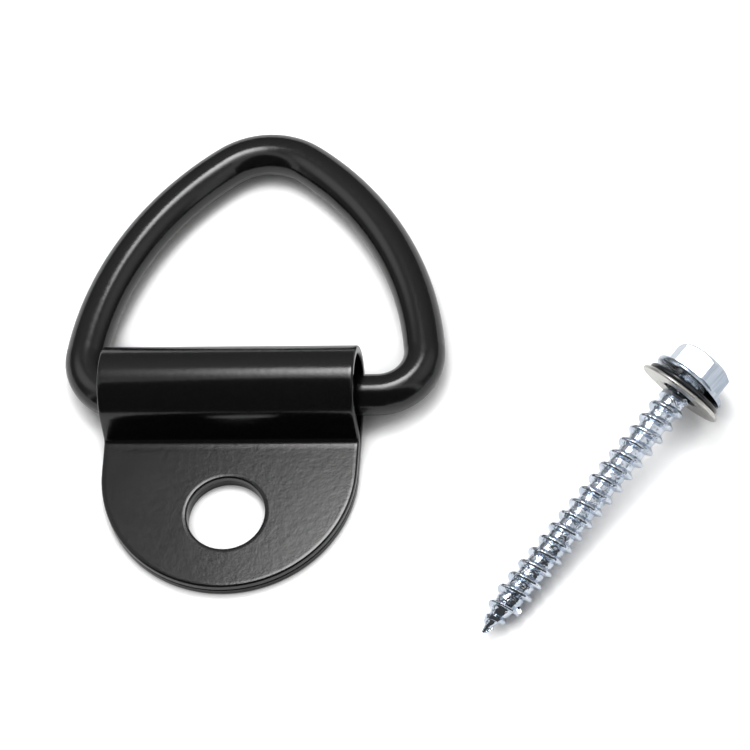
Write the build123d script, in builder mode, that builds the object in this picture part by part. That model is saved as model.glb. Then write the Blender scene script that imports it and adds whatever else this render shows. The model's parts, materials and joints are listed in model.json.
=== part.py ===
from build123d import *

import os
from math import asin, atan2, cos, degrees, radians, sin, sqrt, tan

# The tie-down lies flat as it would on a bench. The origin is the centre of the bolt hole
# on the underside of the bracket, +X runs along the folded sleeve, +Y points from the tab
# to the ring's apex and +Z is up. Lengths are in millimetres and angles in degrees.

# Folded bracket: one strip of sheet bent round the ring's leg and laid double at the tab
bracket_width = 46.0
sheet = 1.4
seam = 0.1
hole_d = 14.0
tab_reach = 14.65
sleeve_reach = 22.85
wall_lean = 13.0
crease_r = 0.9
sheet_edge_r = 0.35

# Ring: round rod bent to a rounded triangle, its straight leg loose in the sleeve
rod_d = 7.4
sleeve_play = 2.2
leg_shorter = 0.6
corner_r = 7.9
side_lean = 6.5
side_r = 55.5
apex_r = 12.8

# How the ring lies: leg on the lower sheet, apex on the floor, a bend beside the sleeve's end
seat_gap = 0.17
floor_gap = 0.1
end_gap = 0.4
leg_forward_share = 0.4
leg_askew_share = 0.11

# Hexagon washer-head screw
hexagon_af = 10.0
head_height = 5.5
head_face_d = 9.0
head_chamfer = 35.0
flange_d = 13.9
flange_rim = 0.9
flange_round = 0.15
flange_height = 1.35
screw_length = 57.6
root_d = 4.4
neck_length = 2.8
point_length = 6.7
point_d = 0.5

# Its thread
thread_d = 6.3
thread_pitch = 2.83
thread_base = 1.9
thread_crest = 0.7
thread_round = 0.15
thread_sunk = 0.15
thread_run_out = 3.7
thread_taper = 6.1
point_turns = 2

# Rubber seal under the flange and the loose steel washer below it
seal_d = 14.3
seal_thickness = 1.0
seal_bulge = 0.3
washer_d = 16.0
washer_thickness = 0.7
washer_dish = 0.1
washer_lean = 5.0
bore_clearance = 0.25
stack_gap = 0.05

# Where the screw lies beside the bracket
screw_x = 81.8
screw_y = 22.3
screw_heading = 53.1
hexagon_turn = 3.7

# Bracket sizes that follow
rod_r = rod_d / 2
bore_r = rod_r + sleeve_play
sleeve_r = bore_r + sheet
tab_thickness = 2 * sheet + seam
half_width = bracket_width / 2
round_y = half_width - tab_reach
crease_z = tab_thickness + crease_r
wall_cos = cos(radians(wall_lean))
wall_sin = sin(radians(wall_lean))
wall_length = (sleeve_r - crease_z + (sleeve_r + crease_r) * wall_sin) / wall_cos
crease_y = sleeve_reach - (sleeve_r + crease_r) * wall_cos - wall_length * wall_sin

# Ring sizes that follow
leg_half = (bracket_width - leg_shorter) / 2
corner_turn = 90 + side_lean
side_run = (side_r - corner_r) * sin(radians(corner_turn)) - leg_half
side_end = 180 - degrees(asin(side_run / (side_r - apex_r)))
side_turn = side_end - corner_turn
apex_turn = 2 * (180 - side_end)
ring_height = (
    corner_r * (1 - cos(radians(corner_turn)))
    + side_r * (cos(radians(corner_turn)) - cos(radians(side_end)))
    + apex_r * (cos(radians(side_end)) + 1)
)
ring_shift = leg_half + corner_r - rod_r - half_width - end_gap
leg_y = sleeve_reach - leg_forward_share * sleeve_play
leg_z = sheet + seat_gap + rod_r
ring_skew = degrees(atan2(leg_askew_share * sleeve_play, half_width))
ring_tilt = degrees(asin((leg_z - rod_r - floor_gap) / ring_height))

# Screw sizes that follow
hexagon_r = hexagon_af / sqrt(3)
flange_r = flange_d / 2
head_face_r = head_face_d / 2
chamfer_drop = (hexagon_r - head_face_r) * tan(radians(head_chamfer))
root_r = root_d / 2
thread_r = thread_d / 2
point_r = point_d / 2
point_slope = (root_r - point_r) / point_length
coil_r = root_r - thread_sunk
coil_length = screw_length - point_length - neck_length
point_coil_length = point_turns * thread_pitch
point_coil_r = coil_r - point_coil_length * point_slope
washer_r = washer_d / 2
washer_bore_r = thread_r + bore_clearance
seal_r = seal_d / 2
seal_drop = washer_dish + washer_thickness / 2 + stack_gap
washer_drop = stack_gap + seal_r * sin(radians(washer_lean)) + seal_thickness + seal_drop

# The screw lies on the washer's rim and on the first full turns of its thread
lying_span = screw_length - point_length - washer_drop
screw_lie = degrees(asin((washer_r - thread_r) / lying_span))
washer_lie = screw_lie + washer_lean
washer_z = (
    floor_gap
    + washer_r * cos(radians(washer_lie))
    + washer_thickness / 2 * sin(radians(washer_lie))
)
flange_seat = Vector(screw_x, screw_y, washer_z + washer_drop * sin(radians(screw_lie)))
screw_side = Vector(0, 1, 0).rotate(Axis.Z, screw_heading)
screw_axis = Vector(1, 0, 0).rotate(Axis.Y, -screw_lie).rotate(Axis.Z, screw_heading)
washer_axis = Vector(1, 0, 0).rotate(Axis.Y, -washer_lie).rotate(Axis.Z, screw_heading)
washer_middle = flange_seat - screw_axis * washer_drop
screw_line = Axis(flange_seat, screw_axis)
washer_line = Axis(washer_middle, washer_axis)
screw_section = Plane(origin=flange_seat, x_dir=screw_axis, z_dir=screw_side)
washer_section = Plane(origin=washer_middle, x_dir=washer_axis, z_dir=screw_side)


def on_cut_edge(edge):
    """Says whether an edge lies in the cut outline of the sheet and runs along it."""
    middle = edge.position_at(0.5)
    if edge.geom_type == GeomType.LINE and abs((edge % 0.5).Z) > 0.999:
        return False
    if abs(abs(middle.X) - half_width) < 0.001:
        return True
    from_centre = sqrt(middle.X**2 + (middle.Y - round_y) ** 2)
    return middle.Y < round_y and abs(from_centre - half_width) < 0.001


def on_hole_rim(edge):
    """Says whether an edge is the bolt hole's upper rim."""
    if edge.geom_type != GeomType.CIRCLE or abs(edge.radius - hole_d / 2) > 0.001:
        return False
    return abs(edge.center().Z - tab_thickness) < 0.001


def thread_section(coil, centre):
    """The thread's ridge in section, standing on the core where its coil starts."""
    outward = coil @ 0 - centre
    plane = Plane(origin=coil @ 0, x_dir=outward, z_dir=screw_axis.cross(outward))
    ridge_height = thread_r - coil_r
    with BuildSketch(plane) as ridge:
        with BuildLine():
            Polyline(
                (ridge_height - thread_round, thread_crest / 2),
                (0, thread_base / 2),
                (0, -thread_base / 2),
                (ridge_height - thread_round, -thread_crest / 2),
            )
            ThreePointArc(
                (ridge_height - thread_round, -thread_crest / 2),
                (ridge_height, 0),
                (ridge_height - thread_round, thread_crest / 2),
            )
        make_face()
    return ridge.sketch


with BuildPart() as bracket:
    # The strip's profile, from the lower sheet's end round the sleeve to the upper sheet's
    with BuildSketch(Plane.YZ):
        with BuildLine():
            Line((-tab_reach, 0), (sleeve_reach, 0))
            wrap = CenterArc((sleeve_reach, sleeve_r), sleeve_r, -90, 270 - wall_lean)
            crease = CenterArc((crease_y, crease_z), crease_r, -wall_lean, wall_lean - 90)
            Line(wrap @ 1, crease @ 0)
            Line(crease @ 1, (-tab_reach, tab_thickness))
            Line((-tab_reach, tab_thickness), (-tab_reach, sheet + seam))
            bend = CenterArc((crease_y, crease_z), crease_r + sheet, -90, 90 - wall_lean)
            bore = CenterArc((sleeve_reach, sleeve_r), bore_r, 180 - wall_lean, wall_lean - 270)
            Line((-tab_reach, sheet + seam), bend @ 0)
            Line(bend @ 1, bore @ 0)
            Line(bore @ 1, (-tab_reach, sheet))
            Line((-tab_reach, sheet), (-tab_reach, 0))
        make_face()
    extrude(amount=half_width, both=True)
    # The outline both sheets are cut to, seen from above
    with BuildSketch(Plane.XY):
        with BuildLine():
            ThreePointArc((-half_width, round_y), (0, -tab_reach), (half_width, round_y))
            Polyline(
                (half_width, round_y),
                (half_width, sleeve_reach + 2 * sleeve_r),
                (-half_width, sleeve_reach + 2 * sleeve_r),
                (-half_width, round_y),
            )
        make_face()
    extrude(amount=2 * sleeve_r, mode=Mode.INTERSECT)
    with BuildSketch(Plane.XY):
        Circle(hole_d / 2)
    extrude(amount=tab_thickness, mode=Mode.SUBTRACT)
    rounded = bracket.edges().filter_by(on_cut_edge) + bracket.edges().filter_by(on_hole_rim)
    fillet(rounded, radius=sheet_edge_r)
bracket.part.label = "bracket"

ring_plane = Plane(
    origin=(ring_shift, leg_y, leg_z),
    x_dir=Vector(1, 0, 0).rotate(Axis.Z, ring_skew),
    z_dir=Vector(0, 0, 1).rotate(Axis.X, -ring_tilt).rotate(Axis.Z, ring_skew),
)
with BuildPart() as ring:
    with BuildLine(ring_plane) as rod_line:
        leg = Line((-leg_half, 0), (leg_half, 0))
        right_corner = JernArc(leg @ 1, leg % 1, corner_r, corner_turn)
        right_side = JernArc(right_corner @ 1, right_corner % 1, side_r, side_turn)
        apex = JernArc(right_side @ 1, right_side % 1, apex_r, apex_turn)
        left_side = JernArc(apex @ 1, apex % 1, side_r, side_turn)
        JernArc(left_side @ 1, left_side % 1, corner_r, corner_turn)
    with BuildSketch(Plane(origin=leg @ 0, z_dir=leg % 0)):
        Circle(rod_r)
    sweep(path=rod_line.line)
ring.part.label = "ring"

coil_start = flange_seat - screw_axis * (screw_length - point_length)
point_coil_start = coil_start - screw_axis * point_coil_length
with BuildPart() as screw:
    with BuildSketch(Plane(origin=flange_seat, x_dir=screw_side, z_dir=screw_axis)):
        RegularPolygon(hexagon_r, 6, rotation=hexagon_turn)
    extrude(amount=head_height)
    # The turned chamfer on the end of the hexagon
    with BuildSketch(screw_section):
        with BuildLine():
            Polyline(
                (0, 0),
                (0, hexagon_r),
                (head_height - chamfer_drop, hexagon_r),
                (head_height, head_face_r),
                (head_height, 0),
                close=True,
            )
        make_face()
    revolve(axis=screw_line, mode=Mode.INTERSECT)
    # Flange, core and point in one turned profile
    with BuildSketch(screw_section):
        with BuildLine():
            Polyline(
                (-screw_length, 0),
                (-screw_length, point_r),
                (point_length - screw_length, root_r),
                (0, root_r),
                (0, flange_r - flange_round),
            )
            ThreePointArc(
                (0, flange_r - flange_round),
                (flange_rim / 2, flange_r),
                (flange_rim, flange_r - flange_round),
            )
            Polyline(
                (flange_rim, flange_r - flange_round),
                (flange_height, hexagon_af / 2),
                (flange_height, 0),
                (-screw_length, 0),
            )
        make_face()
    revolve(axis=screw_line)
    # The thread: an even coil on the core and a closing one that runs onto the point
    with BuildLine() as coil:
        Helix(thread_pitch, coil_length, coil_r, tuple(coil_start), tuple(screw_axis))
    sweep(thread_section(coil.line, coil_start), path=coil.line, is_frenet=True)
    with BuildLine() as point_coil:
        Helix(
            thread_pitch,
            point_coil_length,
            point_coil_r,
            tuple(point_coil_start),
            tuple(screw_axis),
            cone_angle=degrees(atan2(point_slope, 1)),
        )
    sweep(thread_section(point_coil.line, point_coil_start), path=point_coil.line, is_frenet=True)
    # What fades the thread out at the neck and narrows it to the point
    with BuildSketch(screw_section):
        with BuildLine():
            Polyline(
                (thread_base - neck_length, root_r + stack_gap),
                (-neck_length - thread_run_out, thread_r + stack_gap),
                (-neck_length - thread_run_out, 2 * thread_r),
                (thread_base - neck_length, 2 * thread_r),
                close=True,
            )
        make_face()
        with BuildLine():
            Polyline(
                (-screw_length, point_r + thread_sunk),
                (thread_taper - screw_length, thread_r + stack_gap),
                (thread_taper - screw_length, 2 * thread_r),
                (-screw_length, 2 * thread_r),
                close=True,
            )
        make_face()
    revolve(axis=screw_line, mode=Mode.SUBTRACT)
screw.part.label = "screw"

with BuildPart() as seal:
    with BuildSketch(washer_section):
        with BuildLine():
            seal_top = seal_drop + seal_thickness
            Polyline(
                (seal_drop, seal_r - seal_bulge),
                (seal_drop, washer_bore_r),
                (seal_top, washer_bore_r),
                (seal_top, seal_r - seal_bulge),
            )
            ThreePointArc(
                (seal_top, seal_r - seal_bulge),
                (seal_drop + seal_thickness / 2, seal_r),
                (seal_drop, seal_r - seal_bulge),
            )
        make_face()
    revolve(axis=washer_line)
seal.part.label = "seal"

with BuildPart() as washer:
    with BuildSketch(washer_section):
        with BuildLine():
            washer_half = washer_thickness / 2
            Polyline(
                (washer_half, washer_r - washer_half),
                (washer_half + washer_dish, washer_bore_r),
                (washer_dish - washer_half, washer_bore_r),
                (-washer_half, washer_r - washer_half),
            )
            ThreePointArc(
                (-washer_half, washer_r - washer_half),
                (0, washer_r),
                (washer_half, washer_r - washer_half),
            )
        make_face()
    revolve(axis=washer_line)
washer.part.label = "washer"

os.makedirs("parts", exist_ok=True)
export_step(bracket.part, "parts/bracket.step")
export_step(ring.part, "parts/ring.step")
export_step(screw.part, "parts/screw.step")
export_step(seal.part, "parts/seal.step")
export_step(washer.part, "parts/washer.step")
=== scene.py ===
"""Looks of the bolt-on D-ring tie-down: camera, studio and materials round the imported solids.

Lengths are in metres, angles in degrees and light in radiance, where 1 is white.
"""
import json
import math

import bpy
from mathutils import Matrix, Vector

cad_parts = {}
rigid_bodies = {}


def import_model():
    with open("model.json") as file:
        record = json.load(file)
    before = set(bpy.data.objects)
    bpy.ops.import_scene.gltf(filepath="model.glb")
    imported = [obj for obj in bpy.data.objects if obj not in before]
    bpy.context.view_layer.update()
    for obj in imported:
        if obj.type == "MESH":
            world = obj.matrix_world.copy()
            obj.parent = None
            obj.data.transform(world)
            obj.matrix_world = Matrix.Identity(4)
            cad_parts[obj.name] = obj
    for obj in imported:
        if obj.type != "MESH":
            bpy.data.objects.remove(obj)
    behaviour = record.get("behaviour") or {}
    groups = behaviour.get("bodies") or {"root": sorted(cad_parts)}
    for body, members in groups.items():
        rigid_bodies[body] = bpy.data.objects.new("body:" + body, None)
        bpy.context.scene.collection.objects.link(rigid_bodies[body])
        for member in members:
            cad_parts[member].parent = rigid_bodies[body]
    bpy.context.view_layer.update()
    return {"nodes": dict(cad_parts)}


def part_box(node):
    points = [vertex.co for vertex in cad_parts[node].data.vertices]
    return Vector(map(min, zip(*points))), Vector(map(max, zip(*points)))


# Camera: its lean from straight up, compass turn and roll, and where the middle of the hole is seen.
CAMERA_TILT = 29.288
CAMERA_TURN = -71.511
CAMERA_ROLL = 4.279
CAMERA_DISTANCE = 1.5
PIXELS_PER_METRE = 5642.0
HOLE_PIXEL = (228.02, 520.36)
PICTURE = 750
SENSOR = 36.0

# Floor: its own colour, the glow that makes it a white background, what the camera sees on top of that,
# how far a piece dims that glow into a painted contact shadow, and how open to the sky a spot is where the
# glow starts and is full.
FLOOR_HALF = 6.0
FLOOR_BELOW = 0.00003
FLOOR_WHITE = 0.80
FLOOR_GLOW = 0.29
FLOOR_EXTRA = 0.30
PAINTED_SHADOW_REACH = 0.010
PAINTED_SHADOW_OPEN = (0.38, 0.72)
PAINTED_SHADOW_RAYS = 8

# Softbox: a flat lamp, hottest round one spot and fading from there. Levels are far off and at the spot.
SOFTBOX_HEIGHT = 0.45
SOFTBOX_CORNERS = ((-0.071, -0.040), (0.140, 0.236))
SOFTBOX_HOT_SPOT = (0.010, 0.168)
SOFTBOX_HOT_RADIUS = 0.165
SOFTBOX_LEVELS = (1.7, 16.0)

FILL_CENTRE = (0.02, 0.10, 0.50)
FILL_SIDE = 0.30
FILL_RADIANCE = 3.1
AIR_LEVEL = 0.35

# Tent: open on the camera's side, between two compass turns. Its wall gives way to its roof between two
# heights, as shares of its radius. Each glow has its lean from straight up and compass turn, its half
# width and its strength.
TENT_RADIUS = 0.62
TENT_MIDDLE = (0.0, 0.02)
TENT_OPEN_FROM = 205.0
TENT_OPEN_TO = 335.0
TENT_WALL_TO_ROOF = (0.15, 0.85)
TENT_WALL_LEVEL = 0.22
TENT_ROOF_LEVEL = 0.50
TENT_GLOWS = (((44.0, 168.0), 26.0, 0.9), ((52.0, 8.0), 30.0, 0.45))

# The dark room on the camera's side, and a dark flag before the bracket: two x values, its y and its height.
DARK_SIDE_RADIUS = 0.12
DARK_SIDE_LEVEL = 0.07
FLAG = (-0.060, 0.034, -0.031, 0.06)

# Bracket: outline and hole in its frame, the roll that shearing leaves along the edges, and the rise
# into the crease.
OUTLINE_RADIUS = 0.023
OUTLINE_CENTRE = 0.00835
HOLE_RADIUS = 0.007
CREASE = 0.0138
ROLL_WIDTH = 0.0009
ROLL_DEPTH = 0.00008
CREASE_WIDTH = 0.0013
CREASE_RISE = 0.00007

# Screw: the middle of its flange's seat and the direction from point to head. HEAD_FADE is the stretch
# along that direction in which the rolled shank's finish gives way to the pressed head's.
SCREW_SEAT = (0.0818, 0.0223, 0.00824)
SCREW_AXIS = (0.5975, 0.7957, 0.0995)
HEAD_FADE = (-0.0004, 0.0002)
HEAD_STREAK_STRETCH = 0.9
SHANK_CRINKLE_HEIGHT = 0.00019
HEAD_STREAK_HEIGHT = 0.00006
WASHER_AXIS = (0.5900, 0.7858, 0.1859)
WASHER_RINGS_PER_METRE = 5200.0


class Nodes:
    """A material's or world's node tree, with short calls to add and join nodes."""

    def __init__(self, tree):
        self.tree = tree
        tree.nodes.clear()

    def add(self, kind, inputs=None, **settings):
        node = self.tree.nodes.new(kind)
        for name, value in settings.items():
            setattr(node, name, value)
        for name, value in (inputs or {}).items():
            self.put(node, name, value)
        return node

    def put(self, node, name, value):
        socket = node.inputs[name]
        if isinstance(value, bpy.types.NodeSocket):
            self.tree.links.new(value, socket)
        else:
            socket.default_value = value

    def where(self):
        """The place on the object itself, in metres."""
        return self.add("ShaderNodeTexCoord").outputs["Object"]

    def math(self, operation, a, b=0.0, c=0.0):
        return self.add("ShaderNodeMath", {0: a, 1: b, 2: c}, operation=operation).outputs[0]

    def times(self, a, b):
        return self.math("MULTIPLY", a, b)

    def times_plus(self, a, b, c):
        return self.math("MULTIPLY_ADD", a, b, c)

    def far(self, a, b):
        """Distance from the origin to the point (a, b)."""
        return self.math("SQRT", self.times_plus(a, a, self.times(b, b)))

    def vector(self, operation, a, b, output=0):
        return self.add("ShaderNodeVectorMath", {0: a, 1: b}, operation=operation).outputs[output]

    def noise(self, where, scale, detail=2.0, roughness=0.5, distortion=0.0):
        inputs = {"Vector": where, "Scale": scale, "Detail": detail}
        inputs.update({"Roughness": roughness, "Distortion": distortion})
        return self.add("ShaderNodeTexNoise", inputs).outputs["Fac"]

    def ramp(self, value, low, high, out_low=0.0, out_high=1.0, kind="SMOOTHSTEP"):
        inputs = {"Value": value, "From Min": low, "From Max": high}
        inputs.update({"To Min": out_low, "To Max": out_high})
        return self.add("ShaderNodeMapRange", inputs, interpolation_type=kind).outputs[0]

    def blend(self, share, a, b):
        node = self.add("ShaderNodeMix", data_type="RGBA")
        self.put(node, 0, share)
        self.put(node, 6, (*a, 1.0) if isinstance(a, tuple) else a)
        self.put(node, 7, (*b, 1.0) if isinstance(b, tuple) else b)
        return node.outputs[2]

    def bump(self, height, strength=1.0, distance=1.0, normal=None):
        inputs = {"Strength": strength, "Distance": distance, "Height": height}
        if normal is not None:
            inputs["Normal"] = normal
        return self.add("ShaderNodeBump", inputs).outputs[0]

    def glow(self, strength):
        return self.add("ShaderNodeEmission", {"Color": grey(1.0), "Strength": strength}).outputs[0]

    def surface(self, shader):
        self.add("ShaderNodeOutputMaterial", {"Surface": shader})


def grey(value):
    return (value, value, value, 1.0)


def new_material(name):
    material = bpy.data.materials.new(name)
    material.use_nodes = True
    return material, Nodes(material.node_tree)


def paint(node, material):
    for slot in node.material_slots:
        slot.material = material


def edge_roll(nodes, where):
    """Height of the strip's faces: they fall off towards the cut edges and rise into the crease."""
    x, y, _ = nodes.add("ShaderNodeSeparateXYZ", {0: where}).outputs
    front = nodes.math("MINIMUM", nodes.math("SUBTRACT", y, OUTLINE_CENTRE), 0.0)
    out = nodes.far(x, front)
    outer = nodes.ramp(out, OUTLINE_RADIUS - ROLL_WIDTH, OUTLINE_RADIUS, kind="LINEAR")
    inner = nodes.ramp(nodes.far(x, y), HOLE_RADIUS + ROLL_WIDTH, HOLE_RADIUS, kind="LINEAR")
    crease = nodes.ramp(y, CREASE - CREASE_WIDTH, CREASE, kind="LINEAR")
    fall = nodes.times_plus(outer, outer, nodes.times(inner, inner))
    rise = nodes.times(nodes.times(crease, crease), CREASE_RISE)
    return nodes.times_plus(fall, -ROLL_DEPTH, rise)


def powder_coat(name, folded):
    """Satin black powder coat: fine grain, slow waves, slight change of gloss from place to place."""
    material, nodes = new_material(name)
    where = nodes.where()
    grain = nodes.noise(where, 3300.0, roughness=0.6)
    peel = nodes.noise(where, 900.0)
    cloud = nodes.noise(where, 130.0, detail=3.0, roughness=0.6)
    roughness = nodes.times_plus(grain, 0.06, nodes.times_plus(cloud, 0.05, 0.11))
    speckle = nodes.ramp(grain, 0.45, 0.75)
    base = nodes.blend(speckle, (0.0022, 0.0021, 0.0022), (0.0072, 0.0070, 0.0074))
    normal = nodes.bump(grain, strength=0.13, distance=0.00005)
    normal = nodes.bump(peel, strength=0.06, distance=0.0002, normal=normal)
    if folded:
        normal = nodes.bump(edge_roll(nodes, where), normal=normal)
    settings = {"Base Color": base, "Roughness": roughness, "IOR": 1.5, "Normal": normal}
    nodes.surface(nodes.add("ShaderNodeBsdfPrincipled", settings).outputs[0])
    return material


def zinc_plate():
    """Bright zinc plate: bluish, crinkled on the rolled shank, drawn in fine streaks on the pressed head."""
    material, nodes = new_material("bright_zinc_plate")
    where = nodes.where()
    out = nodes.vector("SUBTRACT", where, SCREW_SEAT)
    along = nodes.vector("DOT_PRODUCT", out, SCREW_AXIS, "Value")
    head = nodes.ramp(along, *HEAD_FADE)
    shank = nodes.math("SUBTRACT", 1.0, head)
    # space is squeezed along the screw, so the noise comes out as streaks in that direction
    inputs = {0: SCREW_AXIS, "Scale": nodes.times(along, -HEAD_STREAK_STRETCH)}
    squeeze = nodes.add("ShaderNodeVectorMath", inputs, operation="SCALE").outputs[0]
    streaks = nodes.noise(nodes.vector("ADD", out, squeeze), 1500.0, detail=3.0, roughness=0.6)
    crinkle = nodes.noise(where, 950.0, detail=1.6, distortion=1.0)
    cloud = nodes.noise(where, 420.0, detail=3.0, roughness=0.6)
    rolled = nodes.blend(nodes.ramp(cloud, 0.35, 0.65), (0.52, 0.59, 0.68), (0.70, 0.75, 0.83))
    pressed = nodes.blend(nodes.ramp(streaks, 0.3, 0.7), (0.36, 0.42, 0.50), (0.53, 0.58, 0.65))
    relief = nodes.times(nodes.times(crinkle, shank), SHANK_CRINKLE_HEIGHT)
    relief = nodes.times_plus(nodes.times(streaks, head), HEAD_STREAK_HEIGHT, relief)
    settings = {
        "Base Color": nodes.blend(head, rolled, pressed),
        "Roughness": nodes.times_plus(cloud, 0.12, 0.06),
        "Metallic": 1.0,
        "Normal": nodes.bump(relief),
    }
    nodes.surface(nodes.add("ShaderNodeBsdfPrincipled", settings).outputs[0])
    return material


def rubber():
    """Black rubber with a slight moulded shine and fine dust-like grain."""
    material, nodes = new_material("moulded_black_rubber")
    where = nodes.where()
    grain = nodes.noise(where, 2400.0, detail=3.0, roughness=0.6)
    cloud = nodes.noise(where, 500.0)
    settings = {
        "Base Color": nodes.blend(nodes.ramp(grain, 0.3, 0.75), (0.004, 0.005, 0.007), (0.010, 0.012, 0.016)),
        "Roughness": nodes.times_plus(cloud, 0.14, 0.12),
        "IOR": 1.52,
        "Normal": nodes.bump(grain, strength=0.2, distance=0.00005),
    }
    nodes.surface(nodes.add("ShaderNodeBsdfPrincipled", settings).outputs[0])
    return material


def washer_metal(middle):
    """Stamped stainless sheet: faint turned rings, fine grain, warm grey."""
    material, nodes = new_material("stamped_washer_steel")
    where = nodes.where()
    out = nodes.vector("SUBTRACT", where, middle)
    across = nodes.vector("CROSS_PRODUCT", out, WASHER_AXIS)
    radius = nodes.add("ShaderNodeVectorMath", {0: across}, operation="LENGTH").outputs["Value"]
    inputs = {"W": nodes.times(radius, WASHER_RINGS_PER_METRE), "Scale": 1.0, "Detail": 3.0}
    rings = nodes.add("ShaderNodeTexNoise", inputs, noise_dimensions="1D").outputs["Fac"]
    cloud = nodes.noise(where, 380.0, detail=3.0, roughness=0.6)
    grain = nodes.noise(where, 2600.0)
    turned = nodes.bump(rings, strength=0.2, distance=0.00003)
    settings = {
        "Base Color": nodes.blend(nodes.ramp(cloud, 0.3, 0.7), (0.50, 0.49, 0.465), (0.62, 0.61, 0.585)),
        "Roughness": nodes.times_plus(cloud, 0.14, 0.22),
        "Metallic": 1.0,
        "Normal": nodes.bump(grain, strength=0.2, distance=0.00004, normal=turned),
    }
    nodes.surface(nodes.add("ShaderNodeBsdfPrincipled", settings).outputs[0])
    return material


def seen_as_background(nodes):
    """1 for rays that show the background: straight from the camera, or by way of metal or glass."""
    path = nodes.add("ShaderNodeLightPath").outputs
    either = nodes.math("MAXIMUM", path["Is Camera Ray"], path["Is Glossy Ray"])
    return nodes.math("MAXIMUM", either, path["Is Transmission Ray"])


def flat_mesh(name, corners, faces):
    mesh = bpy.data.meshes.new(name)
    mesh.from_pydata(corners, [], faces)
    thing = bpy.data.objects.new(name, mesh)
    bpy.context.scene.collection.objects.link(thing)
    return thing


def glow_material(name, level):
    """A surface that only gives off light; level is a number or the way to work it out from the nodes."""
    material, nodes = new_material(name)
    nodes.surface(nodes.glow(level(nodes) if callable(level) else level))
    return material


def make_floor():
    """White paper; its glow is dimmed where the piece stands close over it, a painted contact shadow that
    keeps the contact dark.
    """
    half, z = FLOOR_HALF, -FLOOR_BELOW
    corners = [(-half, -half, z), (half, -half, z), (half, half, z), (-half, half, z)]
    floor = flat_mesh("studio_floor", corners, [(0, 1, 2, 3)])
    material, nodes = new_material("white_floor_painted_contact_shadow")
    # painted contact shadow: how open each spot is within this reach sets how much of the glow is taken away
    reach = {"Distance": PAINTED_SHADOW_REACH}
    painted_shadow_openness = nodes.add("ShaderNodeAmbientOcclusion", reach, samples=PAINTED_SHADOW_RAYS).outputs["AO"]
    direct = nodes.add("ShaderNodeLightPath").outputs["Is Camera Ray"]
    white = nodes.times(seen_as_background(nodes), FLOOR_GLOW)
    white = nodes.times_plus(direct, FLOOR_EXTRA, white)
    # the glow times the openness ramp: painted contact shadow on the floor, seen by the camera and in the
    # metal's reflections
    glow = nodes.glow(nodes.times(white, nodes.ramp(painted_shadow_openness, *PAINTED_SHADOW_OPEN)))
    lit = nodes.add("ShaderNodeBsdfDiffuse", {"Color": grey(FLOOR_WHITE)}).outputs[0]
    nodes.surface(nodes.add("ShaderNodeAddShader", {0: lit, 1: glow}).outputs[0])
    floor.data.materials.append(material)


def dome(name, radius, turn_from, turn_to, rows, steps, top):
    """A patch of dome round the piece, between two compass turns, up to top degrees over the floor."""
    corners = []
    for row in range(rows + 1):
        lift = math.radians(1 + (top - 1) * row / rows)
        for step in range(steps + 1):
            turn = math.radians(turn_from + (turn_to - turn_from) * step / steps)
            x = TENT_MIDDLE[0] + radius * math.cos(lift) * math.cos(turn)
            y = TENT_MIDDLE[1] + radius * math.cos(lift) * math.sin(turn)
            corners.append((x, y, radius * math.sin(lift)))
    faces = []
    for row in range(rows):
        for step in range(steps):
            first = row * (steps + 1) + step
            faces.append((first, first + 1, first + steps + 2, first + steps + 1))
    return flat_mesh(name, corners, faces)


def towards(tilt, turn):
    """Unit vector that leans tilt degrees from straight up, in compass direction turn."""
    tilt, turn = math.radians(tilt), math.radians(turn)
    return (math.sin(tilt) * math.cos(turn), math.sin(tilt) * math.sin(turn), math.cos(tilt))


def tent_level(nodes):
    """Dim cloth, brighter towards the roof and where the side lamps shine through it."""
    out = nodes.add("ShaderNodeVectorMath", {0: nodes.where()}, operation="NORMALIZE").outputs[0]
    height = nodes.add("ShaderNodeSeparateXYZ", {0: out}).outputs["Z"]
    level = nodes.ramp(height, *TENT_WALL_TO_ROOF, TENT_WALL_LEVEL, TENT_ROOF_LEVEL)
    for direction, width, extra in TENT_GLOWS:
        near = nodes.vector("DOT_PRODUCT", out, towards(*direction), "Value")
        glow = nodes.ramp(near, math.cos(math.radians(width)), 1.0, 0.0, extra)
        level = nodes.math("ADD", level, glow)
    return level


def make_tent():
    """Tent walls round the sides and the back; the dark room shows where the camera looks in."""
    cloth = (TENT_OPEN_TO - 360, TENT_OPEN_FROM)
    opening = (TENT_OPEN_FROM, TENT_OPEN_TO)
    tent = dome("studio_tent", TENT_RADIUS, *cloth, rows=16, steps=48, top=87.0)
    tent.data.materials.append(glow_material("tent_cloth", tent_level))
    room = dome("studio_dark_side", DARK_SIDE_RADIUS, *opening, rows=10, steps=24, top=88.0)
    dark = glow_material("dark_room", DARK_SIDE_LEVEL)
    x0, x1, y, z = FLAG
    flag = flat_mesh("studio_flag", [(x0, y, 0), (x1, y, 0), (x1, y, z), (x0, y, z)], [(0, 1, 2, 3)])
    for thing in (tent, room, flag):
        thing.visible_camera = False
        thing.visible_shadow = False
    for thing in (room, flag):
        thing.data.materials.append(dark)
        thing.visible_diffuse = False


def softbox_level(nodes):
    spot = (*SOFTBOX_HOT_SPOT, SOFTBOX_HEIGHT)
    away = nodes.vector("DISTANCE", nodes.where(), spot, "Value")
    low, high = SOFTBOX_LEVELS
    return nodes.ramp(away, 0.0, SOFTBOX_HOT_RADIUS, high, low)


def make_softbox():
    """The lamp over the piece: a flat softbox whose lamp head shines through near one corner."""
    (x0, y0), (x1, y1) = SOFTBOX_CORNERS
    z = SOFTBOX_HEIGHT
    box = flat_mesh("studio_softbox", [(x0, y0, z), (x0, y1, z), (x1, y1, z), (x1, y0, z)], [(0, 1, 2, 3)])
    box.data.materials.append(glow_material("softbox_cloth", softbox_level))
    box.visible_camera = False


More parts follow.
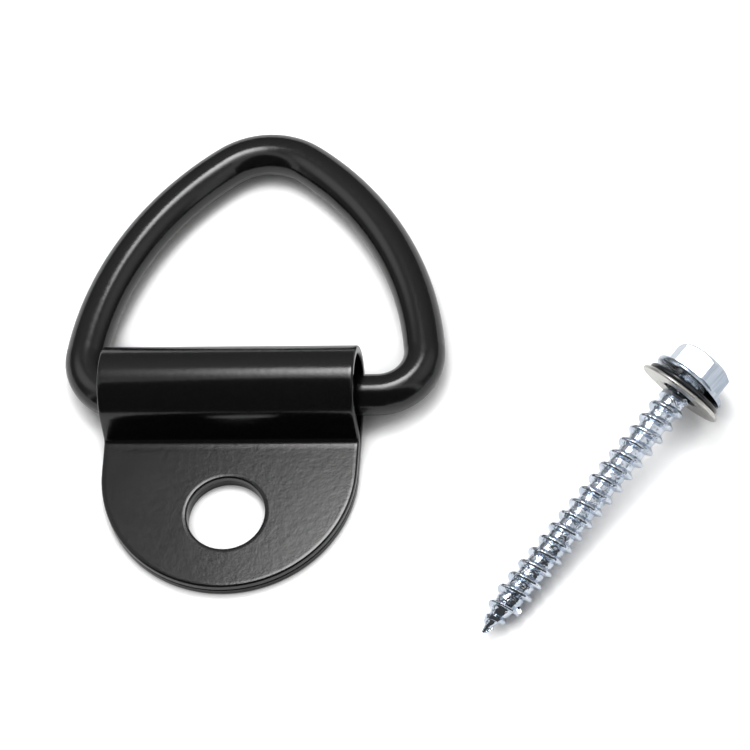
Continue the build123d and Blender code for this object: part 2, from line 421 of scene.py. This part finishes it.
def make_fill():
    """A second soft lamp that lights the floor and leaves no highlight of its own."""
    data = bpy.data.lights.new("fill_lamp", "AREA")
    data.size = FILL_SIDE
    # a flat lamp of radiance L gives off pi times L times its area
    data.energy = FILL_RADIANCE * math.pi * FILL_SIDE**2
    lamp = bpy.data.objects.new("fill_lamp", data)
    lamp.location = FILL_CENTRE
    lamp.visible_glossy = False
    bpy.context.scene.collection.objects.link(lamp)


def make_world():
    world = bpy.data.worlds.new("studio_air")
    world.use_nodes = True
    nodes = Nodes(world.node_tree)
    air = nodes.add("ShaderNodeBackground", {"Color": grey(1.0), "Strength": AIR_LEVEL}).outputs[0]
    white = nodes.add("ShaderNodeBackground", {"Color": grey(1.0), "Strength": 1.0}).outputs[0]
    mix = nodes.add("ShaderNodeMixShader", {0: seen_as_background(nodes), 1: air, 2: white})
    nodes.add("ShaderNodeOutputWorld", {"Surface": mix.outputs[0]})
    bpy.context.scene.world = world


def make_camera():
    """Looks down at the piece from the front; the hole's middle lies on HOLE_PIXEL."""
    back = Vector(towards(CAMERA_TILT, CAMERA_TURN))
    roll = math.radians(CAMERA_ROLL)
    level_up = (Vector((0, 1, 0)) - back[1] * back).normalized()
    level_right = level_up.cross(back)
    right = math.cos(roll) * level_right + math.sin(roll) * level_up
    up = math.cos(roll) * level_up - math.sin(roll) * level_right
    aside = (HOLE_PIXEL[0] - PICTURE / 2) / PIXELS_PER_METRE
    above = -(HOLE_PIXEL[1] - PICTURE / 2) / PIXELS_PER_METRE
    place = CAMERA_DISTANCE * back - aside * right - above * up
    data = bpy.data.cameras.new("camera")
    data.sensor_width = SENSOR
    data.lens = PIXELS_PER_METRE * CAMERA_DISTANCE / PICTURE * SENSOR
    data.clip_start = 0.05
    data.clip_end = 30.0
    camera = bpy.data.objects.new("camera", data)
    camera.matrix_world = Matrix.Translation(place) @ Matrix((right, up, back)).transposed().to_4x4()
    bpy.context.scene.collection.objects.link(camera)
    bpy.context.scene.camera = camera


for thing in list(bpy.data.objects):
    bpy.data.objects.remove(thing)

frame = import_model()
node = frame["nodes"]

paint(node["bracket"], powder_coat("satin_powder_coat_folded", folded=True))
paint(node["ring"], powder_coat("satin_powder_coat", folded=False))
paint(node["screw"], zinc_plate())
paint(node["seal"], rubber())
washer_low, washer_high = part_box("washer")
paint(node["washer"], washer_metal(tuple((washer_low + washer_high) / 2)))

make_camera()
make_world()
make_floor()
make_tent()
make_softbox()
make_fill()
bpy.context.scene.view_settings.view_transform = "Standard"
